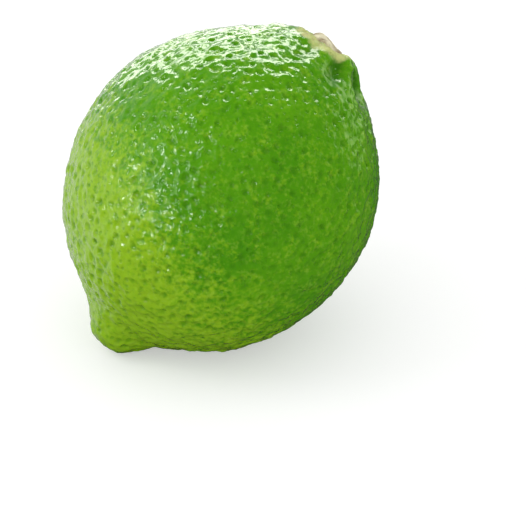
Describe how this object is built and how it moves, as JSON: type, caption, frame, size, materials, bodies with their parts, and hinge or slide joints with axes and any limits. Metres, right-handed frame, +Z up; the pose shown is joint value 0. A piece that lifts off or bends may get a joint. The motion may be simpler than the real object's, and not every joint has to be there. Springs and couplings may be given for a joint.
{
  "type": "lime",
  "caption": "Whole green lime with a blunt nipple, a ribbed collar and a dry calyx button, lying at a lean on a small flat spot of its skin.",
  "frame": {"origin": "middle of the flat spot of the skin that the lime rests on, on the surface under it", "axes": "+Z up; the fruit's core lies in the XZ plane and leans up towards +X at 48 degrees, stem end on top; Y runs across the fruit"},
  "size_m": [0.0572, 0.0546, 0.0565],
  "materials": {
    "lime_peel": "waxy gloss over dimpled oil glands, bright green, yellower on one side",
    "dry_calyx": "dull, dry and rough, pale tan with brown edges"
  },
  "bodies": {
    "root": {"lime_fruit": "lime_peel", "calyx_button": "dry_calyx"}
  },
  "joints": []
}
